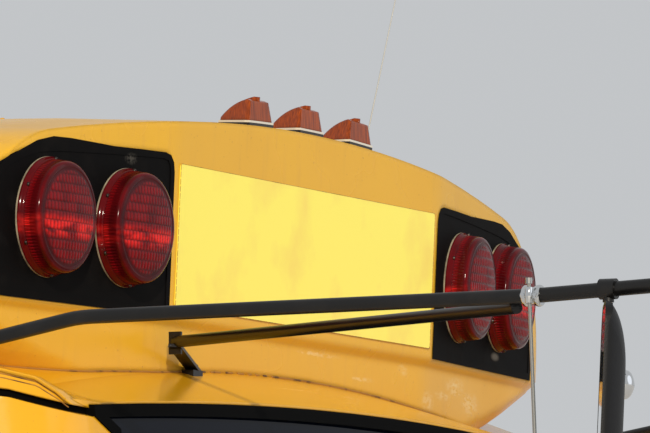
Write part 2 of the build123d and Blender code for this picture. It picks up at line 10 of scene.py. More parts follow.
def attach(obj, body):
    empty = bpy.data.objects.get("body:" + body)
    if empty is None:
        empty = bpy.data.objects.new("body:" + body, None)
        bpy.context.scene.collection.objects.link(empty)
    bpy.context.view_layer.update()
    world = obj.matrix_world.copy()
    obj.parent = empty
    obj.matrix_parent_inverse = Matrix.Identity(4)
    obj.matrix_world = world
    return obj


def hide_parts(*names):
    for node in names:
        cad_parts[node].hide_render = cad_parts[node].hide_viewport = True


# Looks for the upper front end section of a flat-front school bus.
# It is laid out in millimetres about the middle of the front sign: x across the bus, y to its rear, z up.
# at() turns such a place into the frame's metres.

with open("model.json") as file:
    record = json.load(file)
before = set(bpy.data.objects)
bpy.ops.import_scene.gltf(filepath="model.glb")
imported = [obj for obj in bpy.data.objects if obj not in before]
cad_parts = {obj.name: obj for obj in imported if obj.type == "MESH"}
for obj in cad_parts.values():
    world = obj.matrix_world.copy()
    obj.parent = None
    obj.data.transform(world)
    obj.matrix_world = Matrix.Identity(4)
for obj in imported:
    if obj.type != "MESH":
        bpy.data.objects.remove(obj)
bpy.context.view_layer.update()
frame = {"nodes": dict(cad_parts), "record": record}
cad = frame["nodes"]
sideNames = ((-1, "right"), (1, "left"))  # the bus's own right is at -x
jointY = 340.0  # the frame's origin in these millimetres: the joint to the body behind
jointZ = 195.0
lean = math.radians(2.6)  # the face's top leans forward
podStart = 501.0  # where the plane of each lamp pod meets the middle of the face
podTurn = math.radians(6.0)  # and how far that plane is turned to the rear
podBlend = 500.0  # radius that rounds the two into each other
capSide = 1199.0
crownRadius = 5700.0  # the roof's arch
# level, set back of the face below the soft step, and where each pod's flat face ends
faceRows = [(300, 0, 1048), (-122, 0, 1048), (-126, 2, 1046), (-131, 6.5, 1042), (-136, 11, 1036),
            (-140, 12, 1030), (-160, 12, 950), (-180, 12, 868), (-200, 12, 775), (-220, 12, 675),
            (-245, 12, 600), (-330, 12, 590)]
# the shelf's arched top: y, height on the centre line, fall at the corner, where the arch ends
shelfRows = [(-160, -254.6, 44.0, 1050), (22, -188.0, 60.4, 880), (420, -42.3, 60.4, 880)]


def at(x, y, z):
    return Vector((x / 1000, (y - jointY) / 1000, (z - jointZ) / 1000))


def linear(code):
    def one(v):
        return v / 12.92 if v <= 0.04045 else ((v + 0.055) / 1.055) ** 2.4
    return tuple(one(int(code[i:i + 2], 16) / 255) for i in (1, 3, 5)) + (1.0,)


# a socket takes a value, a hex colour, another socket, or a node for its first output
def addNode(tree, kind, sockets=None, **props):
    node = tree.nodes.new(kind)
    for key, value in props.items():
        setattr(node, key, value)
    for key, value in (sockets or {}).items():
        if isinstance(value, bpy.types.Node):
            value = value.outputs[0]
        if isinstance(value, bpy.types.NodeSocket):
            tree.links.new(value, node.inputs[key])
        else:
            node.inputs[key].default_value = linear(value) if isinstance(value, str) else value
    return node


def makeMaterial(name, colour, rough, metal=0.0, **more):
    made = bpy.data.materials.new(name)
    made.use_nodes = True
    shader = made.node_tree.nodes["Principled BSDF"]
    shader.inputs["Base Color"].default_value = linear(colour)
    shader.inputs["Roughness"].default_value = rough
    shader.inputs["Metallic"].default_value = metal
    for key, value in more.items():
        shader.inputs[key.replace("_", " ")].default_value = value
    return made


def feed(made, socket, value):
    source = value.outputs[0] if isinstance(value, bpy.types.Node) else value
    made.node_tree.links.new(source, made.node_tree.nodes["Principled BSDF"].inputs[socket])


# where a point lies on the object, in metres, stretched per axis
def placeOn(tree, stretch=(1, 1, 1), move=(0, 0, 0)):
    coords = addNode(tree, "ShaderNodeTexCoord")
    return addNode(tree, "ShaderNodeMapping", {
        "Vector": coords.outputs["Object"], "Scale": stretch, "Location": move})


# 0 to 1 over worn or dusty patches about size metres wide
def wornPatches(tree, size, low, high, detail=3.0, stretch=(1, 1, 1)):
    field = addNode(tree, "ShaderNodeTexNoise", {
        "Vector": placeOn(tree, stretch), "Scale": 1 / size, "Detail": detail})
    return addNode(tree, "ShaderNodeMapRange", {
        "Value": field.outputs["Fac"], "From Min": low, "From Max": high})


# 1 inside an ellipsoid about a place in design millimetres, fading out over its soft edge
def markedSpot(tree, place, size, soft):
    stretch = tuple(1000 / v for v in size)
    move = tuple(-c * s for c, s in zip(at(*place), stretch))
    far = addNode(tree, "ShaderNodeVectorMath", {0: placeOn(tree, stretch, move)}, operation="LENGTH")
    return addNode(tree, "ShaderNodeMapRange", {
        "Value": far.outputs["Value"], "From Min": 1.0, "From Max": 1.0 - soft})


# several marks taken together, each a place and a size
def markedSpots(tree, spots, soft):
    together = None
    for place, size in spots:
        here = markedSpot(tree, place, size, soft)
        together = here if together is None else addNode(
            tree, "ShaderNodeMath", {0: together, 1: here}, operation="MAXIMUM")
    return together


# surface relief distance metres deep, over edges softened by a radius in metres
def surfaceRelief(tree, height, strength, distance, soften=0.0):
    made = addNode(tree, "ShaderNodeBump", {"Height": height, "Strength": strength, "Distance": distance})
    if soften:
        rounded = addNode(tree, "ShaderNodeBevel", {"Radius": soften}, samples=4)
        tree.links.new(rounded.outputs[0], made.inputs["Normal"])
    return made


# glass-fibre gelcoat, moulded and waxed: deep gloss, chalked in broad patches, with dark specks and run marks
capScuffs = [((80, 19, -143), (95, 16, 4.5)), ((255, 20, -171), (52, 16, 4.5)),
             ((413, 19, -146), (24, 16, 11)), ((524, 23, -190), (36, 18, 20)),
             ((664, 36, -157), (60, 24, 18)), ((750, 46, -180), (55, 26, 22)), ((600, 28, -176), (50, 22, 9))]
gelcoat = makeMaterial("mouldedGelcoat", "#E0AC2C", 0.24, IOR=1.5, Specular_IOR_Level=0.22)
tree = gelcoat.node_tree
chalk = wornPatches(tree, 0.35, 0.42, 0.66)
speck = wornPatches(tree, 0.005, 0.68, 0.75)
streak = wornPatches(tree, 0.02, 0.55, 0.8, 2.0, (1, 1, 0.12))
streak = addNode(tree, "ShaderNodeMath", {0: streak, 1: 0.25}, operation="MULTIPLY")
rubbed = addNode(tree, "ShaderNodeMath", {
    0: markedSpots(tree, capScuffs, 0.8), 1: wornPatches(tree, 0.0045, 0.4, 0.66, 5.0, (0.3, 1, 0.9))},
    operation="MULTIPLY")
rubbedTone = addNode(tree, "ShaderNodeMath", {0: rubbed, 1: 0.62}, operation="MULTIPLY")
tone = addNode(tree, "ShaderNodeMix", {0: chalk, 6: "#E0AC2C", 7: "#DCA834"}, data_type="RGBA").outputs[2]
tone = addNode(tree, "ShaderNodeMix", {0: speck, 6: tone, 7: "#BE8A34"}, data_type="RGBA").outputs[2]
tone = addNode(tree, "ShaderNodeMix", {0: streak, 6: tone, 7: "#C8963F"}, data_type="RGBA").outputs[2]
tone = addNode(tree, "ShaderNodeMix", {0: rubbedTone, 6: tone, 7: "#EED9A6"}, data_type="RGBA").outputs[2]
dulled = addNode(tree, "ShaderNodeMath", {0: chalk, 1: rubbed}, operation="MAXIMUM")
dulled = addNode(tree, "ShaderNodeMapRange", {"Value": dulled, "To Min": 0.24, "To Max": 0.4})
ripple = addNode(tree, "ShaderNodeTexNoise", {"Vector": placeOn(tree), "Scale": 90.0, "Detail": 1.0})  # 11 mm
feed(gelcoat, "Base Color", tone)
feed(gelcoat, "Roughness", dulled)
feed(gelcoat, "Normal", surfaceRelief(tree, ripple.outputs["Fac"], 0.05, 0.002, 0.014))

# sprayed enamel on steel: wet gloss with orange peel, drawn at 6 mm to show, faintly scuffed along the shelf
shelfScuffs = [((-150, -45, -213), (95, 5, 9)), ((40, -52, -214), (60, 4, 8)), ((-30, -90, -228), (50, 4, 7)),
               ((290, -20, -212), (70, 5, 8)), ((430, -70, -235), (55, 4, 7)), ((600, -10, -225), (65, 6, 8))]
paint = makeMaterial("sprayedEnamel", "#DFA31A", 0.14, IOR=1.5, Specular_IOR_Level=0.4)
tree = paint.node_tree
scuffs = addNode(tree, "ShaderNodeMath", {
    0: markedSpots(tree, shelfScuffs, 0.8), 1: wornPatches(tree, 0.004, 0.42, 0.62, 4.0, (0.25, 1, 1))},
    operation="MULTIPLY")
scuffs = addNode(tree, "ShaderNodeMath", {0: scuffs, 1: 0.35}, operation="MULTIPLY")
chips = wornPatches(tree, 0.003, 0.7, 0.76, 2.0)
tone = addNode(tree, "ShaderNodeMix", {0: chips, 6: "#DFA31A", 7: "#B98324"}, data_type="RGBA").outputs[2]
tone = addNode(tree, "ShaderNodeMix", {0: scuffs, 6: tone, 7: "#EBD9A4"}, data_type="RGBA").outputs[2]
peel = addNode(tree, "ShaderNodeTexNoise", {"Vector": placeOn(tree), "Scale": 160.0, "Detail": 1.0})
feed(paint, "Base Color", tone)
feed(paint, "Roughness", addNode(tree, "ShaderNodeMapRange", {
    "Value": scuffs, "To Min": 0.16, "To Max": 0.5}))
feed(paint, "Normal", surfaceRelief(tree, peel.outputs["Fac"], 0.04, 0.001, 0.004))

# cast vinyl film over the lamp panels: dead black, pulled tight, dusty in patches
panelMarks = {"wiped": ((-628, 8, 104), (20, 40, 10)), "splash": ((843, 42, -97), (26, 60, 8))}
panelBlack = makeMaterial("castVinylFilm", "#0C0B0B", 0.7, IOR=1.45, Specular_IOR_Level=0.04)
tree = panelBlack.node_tree
dust = wornPatches(tree, 0.05, 0.52, 0.85, 6.0)
wiped = addNode(tree, "ShaderNodeMath", {
    0: markedSpot(tree, *panelMarks["wiped"], 0.9), 1: wornPatches(tree, 0.004, 0.4, 0.6)},
    operation="MULTIPLY")
wiped = addNode(tree, "ShaderNodeMath", {0: wiped, 1: 0.3}, operation="MULTIPLY")
splash = addNode(tree, "ShaderNodeMath", {
    0: markedSpot(tree, *panelMarks["splash"], 0.6), 1: 0.4}, operation="MULTIPLY")
marks = addNode(tree, "ShaderNodeMath", {0: wiped, 1: splash}, operation="MAXIMUM")
tone = addNode(tree, "ShaderNodeMix", {0: dust, 6: "#0B0A0A", 7: "#1A1817"}, data_type="RGBA").outputs[2]
tone = addNode(tree, "ShaderNodeMix", {0: marks, 6: tone, 7: "#8C877E"}, data_type="RGBA").outputs[2]
feed(panelBlack, "Base Color", tone)
feed(panelBlack, "Roughness", addNode(tree, "ShaderNodeMapRange", {
    "Value": dust, "To Min": 0.62, "To Max": 0.8}))

# injection-moulded polycarbonate, tinted in the mass: hard gloss and deep colour, with painted shade down in
# the grooves and a painted reflection band
paintedReflectionBand = {"low": -30.0, "high": -4.0, "soft": 5.0}  # a painted reflection band across the lens faces, in design millimetres
redLens = makeMaterial("redPolycarbonate", "#8C0A10", 0.09, IOR=1.585, Specular_IOR_Level=0.06,
                       Transmission_Weight=0.05)
tree = redLens.node_tree
haze = wornPatches(tree, 0.03, 0.45, 0.75, 4.0)
level = addNode(tree, "ShaderNodeSeparateXYZ", {0: placeOn(tree)}).outputs[2]
# painted reflection: a band of bright red across each lens between two levels, broken up by noise
bandEdges = []
for edge, soft in ((paintedReflectionBand["low"], paintedReflectionBand["soft"]), (paintedReflectionBand["high"], -paintedReflectionBand["soft"])):
    bandEdges.append(addNode(tree, "ShaderNodeMapRange", {
        "Value": level, "From Min": (edge - soft - jointZ) / 1000,
        "From Max": (edge + soft - jointZ) / 1000}))
paintedReflection = addNode(tree, "ShaderNodeMath", {0: bandEdges[0], 1: bandEdges[1]}, operation="MULTIPLY")
paintedReflection = addNode(tree, "ShaderNodeMath", {
    0: paintedReflection, 1: wornPatches(tree, 0.035, 0.35, 0.6, 2.0, (1, 1, 2.5))}, operation="MULTIPLY")
# painted shade: each point of the lens meshes says how dark it is drawn, darkest down the grooves
paintedGrooveShade = addNode(tree, "ShaderNodeAttribute", attribute_name="grooveShade").outputs["Fac"]
tone = addNode(tree, "ShaderNodeMix", {0: haze, 6: "#7C0B11", 7: "#50080C"}, data_type="RGBA").outputs[2]
# the painted reflection laid on in bright red
tone = addNode(tree, "ShaderNodeMix", {0: paintedReflection, 6: tone, 7: "#E8241F"}, data_type="RGBA").outputs[2]
# painted shade laid over the lens in near-black red, as each point says
tone = addNode(tree, "ShaderNodeMix", {0: paintedGrooveShade, 6: tone, 7: "#2A0508"}, data_type="RGBA").outputs[2]
feed(redLens, "Base Color", tone)
feed(redLens, "Roughness", addNode(tree, "ShaderNodeMapRange", {"Value": haze, "To Min": 0.1, "To Max": 0.2}))

# the same polycarbonate in amber, with fine upright prisms showing through
amberLens = makeMaterial("amberPolycarbonate", "#8A3A0A", 0.12, IOR=1.585, Specular_IOR_Level=0.2,
                         Transmission_Weight=0.05)
tree = amberLens.node_tree
prisms = wornPatches(tree, 0.0022, 0.3, 0.75, 1.0, (1, 1, 0.03))
tone = addNode(tree, "ShaderNodeMix", {0: prisms, 6: "#742E08", 7: "#A84A0C"}, data_type="RGBA").outputs[2]
flow = addNode(tree, "ShaderNodeTexNoise", {"Vector": placeOn(tree), "Scale": 60.0})
feed(amberLens, "Base Color", tone)
feed(amberLens, "Normal", surfaceRelief(tree, flow.outputs["Fac"], 0.1, 0.001, 0.006))

# die-cut cream rubber: dull, darkened to grey-green in random patches as painted shade
creamRubber = makeMaterial("dieCutCreamRubber", "#7A6F5E", 0.8, IOR=1.52, Specular_IOR_Level=0.2)
tree = creamRubber.node_tree
shadedPatches = wornPatches(tree, 0.02, 0.4, 0.7)
# painted shade: cream darkened to grey-green where the patches fall
tone = addNode(tree, "ShaderNodeMix", {0: shadedPatches, 6: "#A2967E", 7: "#6A6252"}, data_type="RGBA").outputs[2]
feed(creamRubber, "Base Color", tone)

# feet of the clearance lamps: white acetal over a black foam gasket, split by height above the arched roof
markerFeet = {"front": -4.5, "roof": 192.7, "pitch": math.radians(3.8), "foam": 4.4}
footPlastic = makeMaterial("mouldedAcetalFoot", "#D6D0C2", 0.4, IOR=1.48)
tree = footPlastic.node_tree
axes = addNode(tree, "ShaderNodeSeparateXYZ", {0: placeOn(tree)})
arch = addNode(tree, "ShaderNodeMath", {0: axes.outputs[0], 1: axes.outputs[0]}, operation="MULTIPLY")
arch = addNode(tree, "ShaderNodeMath", {0: arch, 1: 1000 / (2 * crownRadius)}, operation="MULTIPLY")
climb = addNode(tree, "ShaderNodeMath", {
    0: axes.outputs[1], 1: (jointY - markerFeet["front"]) / 1000}, operation="ADD")
climb = addNode(tree, "ShaderNodeMath", {0: climb, 1: math.tan(markerFeet["pitch"])}, operation="MULTIPLY")
height = addNode(tree, "ShaderNodeMath", {
    0: axes.outputs[2], 1: (jointZ - markerFeet["roof"]) / 1000}, operation="ADD")
height = addNode(tree, "ShaderNodeMath", {0: height, 1: arch}, operation="ADD")
height = addNode(tree, "ShaderNodeMath", {0: height, 1: climb}, operation="SUBTRACT")
foam = addNode(tree, "ShaderNodeMath", {0: height, 1: markerFeet["foam"] / 1000}, operation="LESS_THAN")
tone = addNode(tree, "ShaderNodeMix", {0: foam, 6: "#D6D0C2", 7: "#14110F"}, data_type="RGBA").outputs[2]
feed(footPlastic, "Base Color", tone)

# retroreflective sheeting, laminated and cut: bright and smooth over 3 mm cells, a little dusty
sheeting = makeMaterial("laminatedReflectiveSheet", "#FFF05A", 0.3, IOR=1.5, Coat_Weight=0.2,
                        Coat_Roughness=0.12)
tree = sheeting.node_tree
cell = addNode(tree, "ShaderNodeTexVoronoi", {"Vector": placeOn(tree), "Scale": 300.0})
grime = wornPatches(tree, 0.12, 0.5, 0.85, 5.0)
tone = addNode(tree, "ShaderNodeMix", {0: grime, 6: "#FFF05A", 7: "#F4CF55"}, data_type="RGBA").outputs[2]
feed(sheeting, "Base Color", tone)
feed(sheeting, "Normal", surfaceRelief(tree, cell.outputs["Distance"], 0.06, 0.0006))

# powder coat baked on steel tube: satin black, its pebble drawn at 1.4 mm to show
blackSteel = makeMaterial("powderCoatedTube", "#0B0A0A", 0.36, IOR=1.5, Specular_IOR_Level=0.4)
tree = blackSteel.node_tree
pebble = addNode(tree, "ShaderNodeTexNoise", {"Vector": placeOn(tree), "Scale": 700.0, "Detail": 1.0})
faded = wornPatches(tree, 0.04, 0.5, 0.8)
tone = addNode(tree, "ShaderNodeMix", {0: faded, 6: "#0A0909", 7: "#171412"}, data_type="RGBA").outputs[2]
feed(blackSteel, "Base Color", tone)
feed(blackSteel, "Normal", surfaceRelief(tree, pebble.outputs["Fac"], 0.12, 0.0006))

# moulded polypropylene with a leather grain, drawn at 2.4 mm to show
blackPlastic = makeMaterial("grainedMouldedPlastic", "#0C0C0D", 0.5, IOR=1.49, Specular_IOR_Level=0.25)
tree = blackPlastic.node_tree
leather = addNode(tree, "ShaderNodeTexVoronoi", {"Vector": placeOn(tree), "Scale": 420.0})
feed(blackPlastic, "Normal", surfaceRelief(tree, leather.outputs["Distance"], 0.25, 0.0006))

# butyl sealant run by gun: browned, dried out and dark where it has cracked
sealant = makeMaterial("gunnedButylSealant", "#9A6A2C", 0.75, IOR=1.5)
tree = sealant.node_tree
dried = wornPatches(tree, 0.03, 0.52, 0.64)
tone = addNode(tree, "ShaderNodeMix", {0: dried, 6: "#A27028", 7: "#5A3A1C"}, data_type="RGBA").outputs[2]
feed(sealant, "Base Color", tone)

# float glass laminated over a dark film, made near black all over as painted shade in place of the dark cab
# behind it; very smooth
glass = makeMaterial("tintedGlassPaintedDark", "#040814", 0.03, IOR=1.52, Specular_IOR_Level=0.04,
                     Transmission_Weight=0.1)
rubber = makeMaterial("extrudedRubber", "#060606", 0.75, IOR=1.5, Specular_IOR_Level=0.03)  # dull black
lining = makeMaterial("vacuumFormedLining", "#8C8B86", 0.7, IOR=1.5)  # matt grey sheet
bowSteel = makeMaterial("primedSteelBow", "#A3A29C", 0.55, IOR=1.5)  # grey primer, flat
dashPlastic = makeMaterial("embossedDashVinyl", "#1B1B1C", 0.6, IOR=1.5)  # charcoal, low sheen
reflector = makeMaterial("vapourPlatedBowl", "#D9D2CC", 0.14, 1.0)  # slightly cloudy mirror
mirrorGlass = makeMaterial("silveredFloatGlass", "#E3E7E8", 0.02, 1.0)  # clean mirror
chrome = makeMaterial("polishedChromePlate", "#D5D6D6", 0.08, 1.0)  # bright plate
stainless = makeMaterial("drawnStainlessRod", "#A9A8A3", 0.25, 1.0)  # soft grey shine
springSteel = makeMaterial("groundSpringSteel", "#D8D5CC", 0.35, 1.0)  # pale, half matt
zinc = makeMaterial("dullZincScrew", "#4A4440", 0.38, 1.0)  # zinc plate gone dark
paleFloor = makeMaterial("paleFloor", "#DBD9D5", 0.7, IOR=1.5)

finishes = {
    "yellow_gelcoat": gelcoat, "yellow_paint": paint, "black_panel": panelBlack, "red_lens": redLens,
    "cream_rubber": creamRubber, "reflector": reflector, "amber_lens": amberLens,
    "white_plastic": footPlastic, "reflective_sheet": sheeting, "glass": glass, "rubber": rubber,
    "black_steel": blackSteel, "black_plastic": blackPlastic, "mirror_glass": mirrorGlass,
    "chrome": chrome, "stainless": stainless, "antenna_steel": springSteel, "lining": lining,
    "bow_steel": bowSteel, "dash": dashPlastic,
}
for part in frame["record"]["subparts"]:
    node = cad[part["node"]]
    node.data.materials.clear()
    node.data.materials.append(finishes[part["material_slot"]])
print("materials on", len(cad), "nodes")


def newShape():
    return {"points": [], "faces": []}


# a skin over closed rings of points, shut by a face at either end where asked
def addSkin(shape, rings, shutStart=False, shutEnd=False):
    base = len(shape["points"])
    width = len(rings[0])
    for ring in rings:
        shape["points"].extend(ring)
    for i in range(len(rings) - 1):
        for j in range(width):
            k = (j + 1) % width
            shape["faces"].append((base + i * width + j, base + i * width + k,
                                   base + (i + 1) * width + k, base + (i + 1) * width + j))
    if shutStart:
        shape["faces"].append(tuple(base + j for j in reversed(range(width))))
    if shutEnd:
        shape["faces"].append(tuple(base + (len(rings) - 1) * width + j for j in range(width)))


# a ring of points round a local z axis; place turns local millimetres into design millimetres
def turnedRing(place, radius, z, steps):
    return [place @ Vector((radius * math.cos(2 * math.pi * k / steps),
                            radius * math.sin(2 * math.pi * k / steps), z)) for k in range(steps)]


# a solid turned from a profile of radius and height
def addTurned(shape, place, profile, steps):
    addSkin(shape, [turnedRing(place, r, z, steps) for r, z in profile], True, True)


# hexagon head with a chamfered top over a round washer
def addBolt(shape, place, across, high):
    r = across / math.sqrt(3)
    addTurned(shape, place, [(r * 1.45, 0), (r * 1.45, high * 0.25), (r * 1.38, high * 0.32)], 20)
    addTurned(shape, place, [(r, high * 0.3), (r, high * 0.88), (r * 0.84, high)], 6)


# pan head with a driver recess left as a shallow dish
def addScrew(shape, place, r, high):
    addTurned(shape, place, [(r, 0), (r, high * 0.45), (r * 0.8, high * 0.85), (r * 0.45, high),
                             (r * 0.4, high * 0.7), (r * 0.1, high * 0.65)], 12)


# round bead along design points
def addBead(shape, route, radius, sides=8):
    rings = []
    for i, here in enumerate(route):
        ahead = (Vector(route[min(i + 1, len(route) - 1)]) - Vector(route[max(i - 1, 0)])).normalized()
        across = ahead.cross(Vector((0, 0, 1))).normalized()
        over = across.cross(ahead)
        rings.append([Vector(here) + across * radius * math.cos(2 * math.pi * k / sides)
                      + over * radius * math.sin(2 * math.pi * k / sides) for k in range(sides)])
    addSkin(shape, rings, True, True)


creaseAngle = 0.6  # radians, above which an edge stays sharp


# meshes a shape, sharpens its creases and rides it on its body, in place of solids where told
def finishPiece(name, shape, material, body="front_section", replaced=(), smooth=True):
    mesh = bpy.data.meshes.new(name)
    mesh.from_pydata([tuple(at(*p)) for p in shape["points"]], [], shape["faces"])
    # the lens meshes carry their painted shade as a value on each point
    if "tones" in shape:
        mesh.attributes.new("grooveShade", "FLOAT", "POINT").data.foreach_set("value", shape["tones"])
    mesh.validate()
    mesh.materials.append(material)
    work = bmesh.new()
    work.from_mesh(mesh)
    bmesh.ops.recalc_face_normals(work, faces=work.faces[:])
    for face in work.faces:
        face.smooth = smooth
    for edge in work.edges:
        if len(edge.link_faces) == 2 and edge.calc_face_angle(0) > creaseAngle:
            edge.smooth = False
    work.to_mesh(mesh)
    work.free()
    piece = bpy.data.objects.new(name, mesh)
    bpy.context.scene.collection.objects.link(piece)
    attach(piece, body)
    if replaced:
        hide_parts(*replaced)
    return piece


# a local frame at a design place, its x and z as near to the given ones as they can be
def frameOf(origin, xDir, zDir):
    x = Vector(xDir).normalized()
    z = Vector(zDir).normalized()
    y = z.cross(x).normalized()
    x = y.cross(z)
    made = Matrix((x, y, z)).transposed().to_4x4()
    made.translation = Vector(origin)
    return made


# plane of a pod's face at the lamp line: x across the bus, z out of the face
def podFrame(side, depth):
    xDir = Vector((math.cos(podTurn), side * math.sin(podTurn), 0))
    zDir = xDir.cross(Vector((0, -math.sin(lean), math.cos(lean)))).normalized()
    return frameOf(Vector((side * podStart, 0, 0)) - zDir * depth, xDir, zDir)


# a column's value at a level, read between rows
def between(rows, level, column):
    for low, high in zip(rows, rows[1:]):
        if min(low[0], high[0]) <= level <= max(low[0], high[0]):
            share = (level - low[0]) / (high[0] - low[0])
            return low[column] + share * (high[column] - low[column])
    return rows[0][column] if abs(level - rows[0][0]) < abs(level - rows[-1][0]) else rows[-1][column]


# where the cap's face is at a place across the bus and a level: middle, blend, flat pod, round corner
def faceY(x, z):
    far = abs(x)
    podEnd = between(faceRows, z, 2)
    radius = (capSide - podEnd) / (1 - math.sin(podTurn))
    start = podStart - podBlend * math.tan(podTurn / 2)
    base = -z * math.tan(lean) + between(faceRows, z, 1)
    if far <= start:
        return base
    if far <= start + podBlend * math.sin(podTurn):
        return base + podBlend - math.sqrt(podBlend ** 2 - (far - start) ** 2)
    if far <= podEnd:
        return base + (far - podStart) * math.tan(podTurn)
    centreX = podEnd - radius * math.sin(podTurn)
    centreY = (podEnd - podStart) * math.tan(podTurn) + radius * math.cos(podTurn)
    return base + centreY - math.sqrt(max(radius ** 2 - (far - centreX) ** 2, 0))


# level of the shelf's arched top at a place
def shelfZ(x, y):
    mid, fall, corner = (between(shelfRows, y, column) for column in (1, 2, 3))
    radius = (corner ** 2 + fall ** 2) / (2 * fall)
    return mid - (radius - math.sqrt(radius ** 2 - min(abs(x), corner) ** 2))


# the line where the cap's foot meets the shelf, found in small steps
def seamAt(x):
    z = -200.0
    for step in range(60):
        z += 0.4 * (shelfZ(x, faceY(x, z)) - z)
    return Vector((x, faceY(x, z), z))


# warning lamp lenses: flange, stepped drum with moulded ribs, domed face with rows of upright flutes
lensLook = {
    "spots": (635.0, 858.0), "recess": 1.0, "steps": 400, "rings": 44,
    "flange": ((84.0, 2.6), (88.4, 2.6), (88.9, 3.2), (88.8, 5.0), (88.0, 5.8), (86.6, 9.5), (85.4, 12)),
    "drumR": 85.2, "draft": 2.4, "drumFoot": 12.2, "drumHigh": 20.0, "drumRings": 8,
    "ribs": 100, "ribDeep": 1.6, "shoulder": ((82.0, 34.6, 0.55), (80.4, 36.6, 0.55), (78.0, 37.9, 0.8)),
    "faceR": 75.0, "faceZ": 38.5, "dome": 6.0,
    "flutePitch": 8.4, "rowHigh": 14.0, "fluteDeep": 1.0, "plainRim": 0.93, "fadeOver": 0.05,
    "inside": ((3, 37.2), (40, 35.6), (71, 30.6), (76.5, 26), (80.2, 6.0), (80.4, 2.6), (84.0, 2.6)),
}
gasketProfile = ((80, 0.1), (88.9, 0.1), (89.2, 1.2), (88.9, 2.4), (87.6, 2.5), (80, 2.5))
lensScrew = {"count": 6, "round": 85.2, "seat": 10.5, "r": 3.4, "high": 3.2}
# painted shade on each part of a lens, from 0 to 1, darkest down the grooves; the shoulder's rings have
# theirs after radius and height
grooveShade = {"flange": 0.6, "ribCrown": 0.05, "ribGroove": 0.8, "aboveRibs": 0.75, "rim": 0.8,
              "fluteGroove": 0.85, "inside": 0.5}


# how far the rows of flutes stand up at a place on the lens's face
def fluteHeight(x, y):
    row = math.floor(y / lensLook["rowHigh"] + 0.5)
    alongRow = y / lensLook["rowHigh"] + 0.5 - row
    alongFlute = x / lensLook["flutePitch"] + (0.5 if row % 2 else 0.0)
    alongFlute -= math.floor(alongFlute)
    crown = 1 - (2 * alongFlute - 1) ** 2
    band = 1 - (2 * alongRow - 1) ** 4
    far = math.hypot(x, y) / lensLook["faceR"]
    fade = min(1.0, max(0.0, (lensLook["plainRim"] - far) / lensLook["fadeOver"]))
    return lensLook["fluteDeep"] * crown * band * fade


# foot of a lamp on its pod
def lampFrame(side, spot):
    along = side * (spot - podStart) / math.cos(podTurn)
    return podFrame(side, lensLook["recess"]) @ Matrix.Translation((along, 0, 0))


def lensShape(place):
    look = lensLook
    steps = look["steps"]
    shape = newShape()
    rings = [turnedRing(place, r, z, steps) for r, z in look["flange"]]
    tones = [grooveShade["flange"]] * (len(rings) * steps)
    for i in range(look["drumRings"] + 1):
        share = i / look["drumRings"]
        r = look["drumR"] - look["draft"] * share
        z = look["drumFoot"] + look["drumHigh"] * share
        # ribs rise from the drum's foot and die away under the shoulder
        ease = math.sin(math.pi * min(1.0, share * 1.08 + 0.02)) ** 0.5 if share < 0.93 else 0.0
        ribbed = 0.05 < share < 0.4
        ring = []
        for k in range(steps):
            turn = 2 * math.pi * k / steps
            wave = abs((k * look["ribs"] / steps) % 1 * 2 - 1)
            rr = r - look["ribDeep"] * wave * ease
            ring.append(place @ Vector((rr * math.cos(turn), rr * math.sin(turn), z)))
            # painted shade: dark down each rib groove, lighter on the crowns
            groove = abs((k * 2 * look["ribs"] / steps) % 1 * 2 - 1)
            tones.append(grooveShade["ribCrown"] + grooveShade["ribGroove"] * groove if ribbed
                         else grooveShade["aboveRibs"])
        rings.append(ring)
    for r, z, dark in look["shoulder"] + ((look["faceR"], look["faceZ"], grooveShade["rim"]),):
        rings.append(turnedRing(place, r, z, steps))
        tones += [dark] * steps
    for i in range(1, look["rings"]):
        r = look["faceR"] * (1 - i / look["rings"])
        z = look["faceZ"] + look["dome"] * (1 - (r / look["faceR"]) ** 2)
        ring = []
        for k in range(steps):
            turn = 2 * math.pi * k / steps
            x = r * math.cos(turn)
            y = r * math.sin(turn)
            high = fluteHeight(x, y)
            ring.append(place @ Vector((x, y, z - look["fluteDeep"] + high)))
            # painted shade: dark down each flute groove
            tones.append(grooveShade["fluteGroove"] * (1 - high / look["fluteDeep"]) ** 1.3)
        rings.append(ring)
    addSkin(shape, rings, shutEnd=True)
    addSkin(shape, [turnedRing(place, r, z, steps) for r, z in look["inside"]], shutStart=True)
    shape["tones"] = tones + [grooveShade["inside"]] * (len(shape["points"]) - len(tones))
    return shape


inner, outer = lensLook["spots"]
lensScrews = newShape()
for number, (side, spot) in enumerate(((-1, outer), (-1, inner), (1, inner), (1, outer)), 1):
    place = lampFrame(side, spot)
    finishPiece("fluted_lens_%d" % number, lensShape(place), redLens,
                replaced=("warning_lens_%d" % number,))
    gasketShape = newShape()
    addSkin(gasketShape, [turnedRing(place, r, z, 96) for r, z in gasketProfile])
    finishPiece("die_cut_gasket_%d" % number, gasketShape, creamRubber,
                replaced=("warning_gasket_%d" % number,))
    for k in range(lensScrew["count"]):
        turn = math.radians(30) + 2 * math.pi * k / lensScrew["count"]
        seat = Matrix.Translation((lensScrew["round"] * math.cos(turn), lensScrew["round"] * math.sin(turn),
                                   lensScrew["seat"]))
        addScrew(lensScrews, place @ seat, lensScrew["r"], lensScrew["high"])
finishPiece("lens_screws", lensScrews, zinc)
print("lenses fluted")

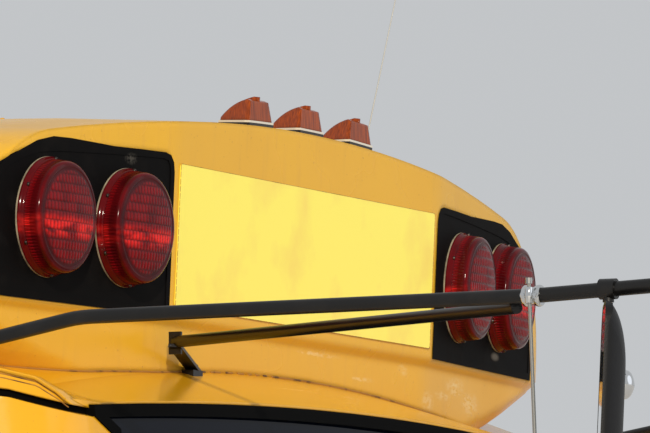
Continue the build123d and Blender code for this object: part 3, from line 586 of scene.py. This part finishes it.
# thin seam of sealant between the cap's foot and the shelf, cracked near the middle of the bus's right half
sealLook = {"radius": 1.7, "step": 12, "seed": 4, "reach": 1190, "crackFrom": -330, "crackTo": -60,
            "crackShare": 0.35, "gap": (4, 9), "proud": 0.6, "lift": 0.5, "wobble": 0.25}
random.seed(sealLook["seed"])
seam = newShape()
x = -float(sealLook["reach"])
run = []
while x < sealLook["reach"]:
    cracked = sealLook["crackFrom"] < x < sealLook["crackTo"] and random.random() < sealLook["crackShare"]
    if cracked and len(run) > 1:
        addBead(seam, run, sealLook["radius"], 7)
        run = []
        x += random.uniform(*sealLook["gap"])
    lift = sealLook["lift"] + random.uniform(-sealLook["wobble"], sealLook["wobble"])
    run.append(tuple(seamAt(x) + Vector((0, -sealLook["proud"], lift))))
    x += sealLook["step"]
if len(run) > 1:
    addBead(seam, run, sealLook["radius"], 7)
finishPiece("shelf_sealant", seam, sealant)

# painted shadow along the cut edge of the sign's sheet: a fine dark line of beads with gaps
signEdgeShadow = {"halfWide": 484.0, "halfHigh": 108.0, "lift": 1.9, "wide": 0.9, "dash": 9.0, "gap": 1.6,
            "margin": 0.08}
edges = newShape()
signFrame = frameOf((0, 0, 0), (1, 0, 0), (0, -math.cos(lean), -math.sin(lean)))
corners = [Vector((a * signEdgeShadow["halfWide"], b * signEdgeShadow["halfHigh"]))
           for a, b in ((-1, -1), (1, -1), (1, 1), (-1, 1))]
for i, a in enumerate(corners):
    b = corners[(i + 1) % 4]
    count = int((b - a).length / (signEdgeShadow["dash"] + signEdgeShadow["gap"]))
    for k in range(count):
        ends = [a.lerp(b, (k + share) / count) for share in (signEdgeShadow["margin"], 1 - signEdgeShadow["margin"])]
        addBead(edges, [signFrame @ Vector((p.x, p.y, signEdgeShadow["lift"])) for p in ends],
                signEdgeShadow["wide"] / 2, 5)
finishPiece("sign_edge_shadow", edges, sealant, smooth=False)
print("seams run")

# edging film round the lamp panels, in the plane of each pod
panelEdge = {
    "grow": 1.2, "lift": 0.35, "seat": 0.9, "foot": 0.02, "middle": 270,
    "outer": [(541, -123), (541, -36), (536, 0), (524, 32), (508, 57), (480, 78), (434, 95), (395, 110),
              (350, 119), (302, 120), (240, 119), (178, 118), (100, 120), (30, 121), (14, 118), (5, 108),
              (2, 93), (2, -123)],
    "inner": [(530, -112), (530, -36), (525, -4), (514, 26), (498, 48), (472, 68), (430, 83), (390, 93),
              (350, 98), (302, 101), (240, 104), (178, 107), (100, 110), (34, 112), (20, 110), (14, 103),
              (12, 92), (12, -112)],
}
edging = newShape()
for side in (-1, 1):
    rings = []
    for outline, depth, grow in (("inner", panelEdge["seat"], 0), ("inner", -panelEdge["lift"], 0),
                                 ("outer", -panelEdge["lift"], panelEdge["grow"]),
                                 ("outer", -panelEdge["foot"], panelEdge["grow"])):
        ring = []
        for a, b in panelEdge[outline]:
            away = Vector((a - panelEdge["middle"], b, 0)).normalized() * grow
            ring.append(podFrame(side, depth) @ Vector((side * (a + away.x), b + away.y, 0)))
        rings.append(ring)
    addSkin(edging, rings)
finishPiece("panel_edging", edging, panelBlack, smooth=False)

# rolled lip of the drip rail, and thin dark beads painted as the shade in its two fine grooves: runs from y
# to y, and for each bead its drop below the line, how far it stands off and its radius
railLook = {"line": [(-119.8, -296.5), (-104, -275), (-84, -257), (-44.5, -246), (60, -240), (345, -238)],
            "centre": (1041.2, 38.8), "radius": 157.8, "runs": ((-112, 68), (192, 339)), "parts": 36,
            "lines": ((7.5, 4.0, 0.8), (13.0, 4.0, 0.8)), "lip": ((1.2, 8.2, 2.0),)}


# a place beside the rail: below its line by the drop, and out from the side
def railPoint(side, y, drop, out):
    line = railLook["line"]
    z = line[-1][1]
    for (y0, z0), (y1, z1) in zip(line, line[1:]):
        if y0 <= y <= y1:
            z = z0 + (z1 - z0) * (y - y0) / (y1 - y0)
    centreX, centreY = railLook["centre"]
    r = railLook["radius"] + out
    return side * (centreX + math.sqrt(max(r ** 2 - max(centreY - y, 0.0) ** 2, 0))), y, z - drop


def railShape(beads):
    shape = newShape()
    for side in (-1, 1):
        for first, last in railLook["runs"]:
            for drop, out, radius in beads:
                addBead(shape, [railPoint(side, first + (last - first) * k / railLook["parts"], drop, out)
                                for k in range(railLook["parts"] + 1)], radius)
    return shape


# painted shade: the rail's grooves drawn as thin dark brown beads
finishPiece("rail_sealant_lines", railShape(railLook["lines"]), sealant)
finishPiece("rail_rolled_lip", railShape(railLook["lip"]), paint)

# pop rivets along the cap's rear edge and down the posts' rear flanges
rivetLook = {"pitch": 92.0, "y": 322.0, "head": [(4.2, 0), (3.36, 1.2), (1.6, 1.9)], "shoulderCount": 4,
             "postY": 46, "postLevels": range(-1060, -330, 120)}
roofRear = {"crown": 209.0, "shoulderX": 892.0, "shoulderR": 362.0}
rivets = newShape()
turnEnd = math.asin(roofRear["shoulderX"] / crownRadius)
crownCentre = Vector((0, rivetLook["y"], roofRear["crown"] - crownRadius))
count = int(2 * crownRadius * turnEnd / rivetLook["pitch"])
for k in range(count + 1):
    turn = -turnEnd + 2 * turnEnd * k / count
    normal = Vector((math.sin(turn), 0, math.cos(turn)))
    addTurned(rivets, frameOf(crownCentre + normal * crownRadius, (0, 1, 0), normal), rivetLook["head"], 12)
for side in (-1, 1):
    inward = crownRadius - roofRear["shoulderR"]
    shoulder = crownCentre + Vector((side * math.sin(turnEnd), 0, math.cos(turnEnd))) * inward
    for k in range(1, rivetLook["shoulderCount"] + 1):
        turn = turnEnd + (math.pi / 2 - turnEnd) * k / (rivetLook["shoulderCount"] + 1)
        normal = Vector((side * math.sin(turn), 0, math.cos(turn)))
        addTurned(rivets, frameOf(shoulder + normal * roofRear["shoulderR"], (0, 1, 0), normal),
                  rivetLook["head"], 12)
    for level in rivetLook["postLevels"]:
        addTurned(rivets, frameOf((side * capSide, rivetLook["postY"], level), (0, 1, 0), (side, 0, 0)),
                  rivetLook["head"], 12)
finishPiece("edge_rivets", rivets, paint)
print("rails and rivets done")

# mirror housings: deep back that rolls over to a thin top and bottom edge, a well for the glass, and a pin;
# a domed adjuster on the back
mirrorLook = {"at": (-1250, -1013, -186.5), "turn": 24.0, "tilt": 2.5, "wide": 176.0, "high": 392.0,
              "corner": 38.0, "deep": 33.0, "roll": 95.0, "rim": 5.0, "innerCorner": 33, "well": 4.2,
              "thin": 3.0, "rings": 30, "seat": 6, "hang": 0.5, "domeUp": 84, "domeSunk": 4,
              "dome": [(21, 0), (21, 4), (19.5, 9), (16, 13), (10, 16), (4, 17.6), (1, 18)],
              "pin": [(6.5, -9), (6.5, 0), (4, 0.02), (4, 5)]}


def roundedRectangle(wide, high, corner, per=16):
    ring = []
    for quarter in range(4):
        centreX = (wide / 2 - corner) * (1, -1, -1, 1)[quarter]
        centreY = (high / 2 - corner) * (1, 1, -1, -1)[quarter]
        for k in range(per):
            turn = math.pi / 2 * (quarter + k / per)
            ring.append((centreX + corner * math.cos(turn), centreY + corner * math.sin(turn)))
    return ring


# how far the housing's back stands behind the glass side
def backDepth(x, y):
    look = mirrorLook
    across = max(0.0, 1 - (abs(x) / (look["wide"] / 2)) ** 4) ** 0.5
    over = max(0.0, (abs(y) - (look["high"] / 2 - look["roll"])) / look["roll"])
    return max(look["thin"], look["deep"] * across * max(0.0, 1 - over ** 2) ** 0.5)


def housingShapes(side):
    look = mirrorLook
    pin = Matrix.Translation(look["at"])
    place = (pin @ Matrix.Rotation(math.radians(look["turn"]), 4, "Z")
             @ Matrix.Rotation(math.radians(look["tilt"]), 4, "X")
             @ Matrix.Translation((0, 0, -look["high"] / 2 - look["hang"]))
             @ Matrix.Rotation(math.pi / 2, 4, "X") @ Matrix.Translation((0, 0, -look["seat"])))
    rim = 2 * look["rim"]
    outline = roundedRectangle(look["wide"], look["high"], look["corner"])
    opening = roundedRectangle(look["wide"] - rim, look["high"] - rim, look["innerCorner"])
    rings = [[place @ Vector((x, y, look["well"])) for x, y in opening],
             [place @ Vector((x, y, 0)) for x, y in opening], [place @ Vector((x, y, 0)) for x, y in outline]]
    for k in range(1, look["rings"]):
        share = 1 - (k / look["rings"]) ** 1.6
        rings.append([place @ Vector((x * share, y * share, backDepth(x * share, y * share)))
                      for x, y in outline])
    housing = newShape()
    addSkin(housing, rings, True, True)
    addTurned(housing, pin, look["pin"], 24)
    dome = newShape()
    addTurned(dome, place @ Matrix.Translation((0, look["domeUp"], look["deep"] - look["domeSunk"])),
              look["dome"], 40)
    if side > 0:
        for shape in (housing, dome):
            shape["points"] = [Vector((-p[0], p[1], p[2])) for p in shape["points"]]
    return housing, dome


for side, name in sideNames:
    housing, dome = housingShapes(side)
    finishPiece("mirror_housing_" + name, housing, blackPlastic, body="mirror_head_" + name,
                replaced=("mirror_shell_" + name,))
    finishPiece("adjuster_dome_" + name, dome, chrome, body="mirror_head_" + name)
print("mirror housings done")

# double clamp on the arm: two rounded bands, a neck between them and a boss round the stay rod's top
clampLook = {"at": (1250, -900, -173), "apart": 9, "bossOut": 16, "bossFoot": -11,
             "band": [(10.8, -4.5), (13.8, -4.5), (15, -3), (15.3, 0), (15, 3), (13.8, 4.5), (10.8, 4.5)],
             "neck": [(10.8, -5), (12.2, -5), (12.2, 5), (10.8, 5)],
             "boss": [(2.9, 0), (5, 0), (5.6, 1), (5.6, 21), (5, 22), (2.9, 22)],
             "boltOut": 14.8, "boltAcross": 6, "boltHigh": 4}
# bolts on the foot plates: y, z, half their spacing, size across the flats, height
plateBolts = {"bothSides": ((130, -240, 33, 13, 7), (-20, -1196, 25, 10, 5.5)),
              "leftBrace": (22, -700, 21, 10, 5.5), "plateThick": 6}
# bolts of the strap to the shelf and to the brace: place, along a flat, axis, size across the flats, height
strapBolts = (((-401, 10, -192.5), (1, 0, 0), (0.05, -0.36, 0.93), 9, 4.5),
              ((-508.7, -12, -155), (0, 1, 0), (1, 0, 0), 9, 5))


# a pair of bolts that face out to one side, one either way along the bus
def addSideBolts(shape, side, x, y, z, apart, across, high):
    for dy in (-apart, apart):
        addBolt(shape, frameOf((side * x, y + dy, z), (0, 1, 0), (side, 0, 0)), across, high)


bolts = newShape()
chromeBolts = newShape()
plateX = capSide + plateBolts["plateThick"]
clampX, clampY, clampZ = clampLook["at"]
for side, name in sideNames:
    for bolt in plateBolts["bothSides"]:
        addSideBolts(bolts, side, plateX, *bolt)
    addSideBolts(chromeBolts, side, clampX + clampLook["boltOut"], clampY, clampZ, clampLook["apart"],
                 clampLook["boltAcross"], clampLook["boltHigh"])
    clampRings = newShape()
    for dy, profile in ((-clampLook["apart"], "band"), (clampLook["apart"], "band"), (0, "neck")):
        addTurned(clampRings, frameOf((side * clampX, clampY + dy, clampZ), (1, 0, 0), (0, 1, 0)),
                  clampLook[profile], 48)
    boss = (side * (clampX + clampLook["bossOut"]), clampY, clampZ + clampLook["bossFoot"])
    addTurned(clampRings, frameOf(boss, (1, 0, 0), (0, 0, 1)), clampLook["boss"], 24)
    finishPiece("clamp_rings_" + name, clampRings, chrome, replaced=("arm_clamp_" + name,))
addSideBolts(bolts, 1, plateX, *plateBolts["leftBrace"])
for place, alongFlat, axis, across, high in strapBolts:
    addBolt(bolts, frameOf(place, alongFlat, axis), across, high)
finishPiece("plate_bolts", bolts, blackSteel, smooth=False)
finishPiece("clamp_bolts", chromeBolts, chrome, smooth=False)
print("bolts placed")

# camera low in front of the bus's right corner, aimed a little off the sign's middle
cameraLook = {"right": (0.407, -0.914, 0), "back": (-0.911, -0.4054, -0.0802), "away": 15.0,
              "aimRight": 0.0264, "aimUp": 0.0656, "lens": 535.8, "sensor": 36.0, "clip": (0.5, 600.0)}
scene = bpy.context.scene
scene.view_settings.view_transform = "Standard"
signCentre = at(0, 0, 0)
right = Vector(cameraLook["right"]).normalized()
back = Vector(cameraLook["back"]).normalized()
up = back.cross(right).normalized()
camera = bpy.data.objects.new("camera", bpy.data.cameras.new("camera"))
scene.collection.objects.link(camera)
camera.location = signCentre + back * cameraLook["away"]
target = signCentre + right * cameraLook["aimRight"] + up * cameraLook["aimUp"]
look = (camera.location - target).normalized()
levelSide = Vector((0, 0, 1)).cross(look).normalized()
camera.rotation_mode = "QUATERNION"
camera.rotation_quaternion = Matrix((levelSide, look.cross(levelSide), look)).transposed().to_quaternion()
camera.data.lens = cameraLook["lens"]
camera.data.sensor_width = cameraLook["sensor"]
camera.data.clip_start, camera.data.clip_end = cameraLook["clip"]
scene.camera = camera

floorLook = {"level": -1268, "gap": 0.002, "reach": 400.0}  # the section's foot in mm, the rest in metres
floorZ = at(0, 0, floorLook["level"]).z - floorLook["gap"]
floorMesh = bpy.data.meshes.new("floor")
floorMesh.from_pydata([(a * floorLook["reach"], b * floorLook["reach"], floorZ)
                       for a, b in ((-1, -1), (1, -1), (1, 1), (-1, 1))], [], [(0, 1, 2, 3)])
floor = bpy.data.objects.new("floor", floorMesh)
floor.data.materials.append(paleFloor)
scene.collection.objects.link(floor)

# soft light on the object; a paler backdrop where the camera, a reflection or a look through glass meets it
backdrop = {"soft": {"Color": "#F2F4F8", "Strength": 0.5}, "seen": {"Color": "#E4E7EA", "Strength": 0.7}}
world = bpy.data.worlds.new("paleStudio")
scene.world = world
world.use_nodes = True
tree = world.node_tree
tree.nodes.clear()
soft = addNode(tree, "ShaderNodeBackground", backdrop["soft"])
seen = addNode(tree, "ShaderNodeBackground", backdrop["seen"])
path = addNode(tree, "ShaderNodeLightPath")
showing = addNode(tree, "ShaderNodeMath", {
    0: path.outputs["Is Camera Ray"], 1: path.outputs["Is Glossy Ray"]}, operation="MAXIMUM")
showing = addNode(tree, "ShaderNodeMath", {
    0: showing, 1: path.outputs["Is Transmission Ray"]}, operation="MAXIMUM")
blend = addNode(tree, "ShaderNodeMixShader", {0: showing, 1: soft, 2: seen})
addNode(tree, "ShaderNodeOutputWorld", {"Surface": blend})

# a low key from the bus's right and a wide fill from the front
lampLook = {
    "keyLight": {"toward": (-0.82, -0.44, 0.36), "strength": 3.0, "spread": 1.4, "colour": "#FFF4E2"},
    "fillLight": {"toward": (0.3, -0.9, 0.35), "strength": 0.55, "spread": 60, "colour": "#EEF3FF"},
}
for name, lamp in lampLook.items():
    data = bpy.data.lights.new(name, "SUN")
    data.energy = lamp["strength"]
    data.angle = math.radians(lamp["spread"])
    data.color = linear(lamp["colour"])[:3]
    made = bpy.data.objects.new(name, data)
    made.rotation_euler = Vector(lamp["toward"]).to_track_quat("Z", "Y").to_euler()
    made.location = signCentre + Vector(lamp["toward"]) * 10
    made.visible_camera = False
    scene.collection.objects.link(made)
print("camera and light set")
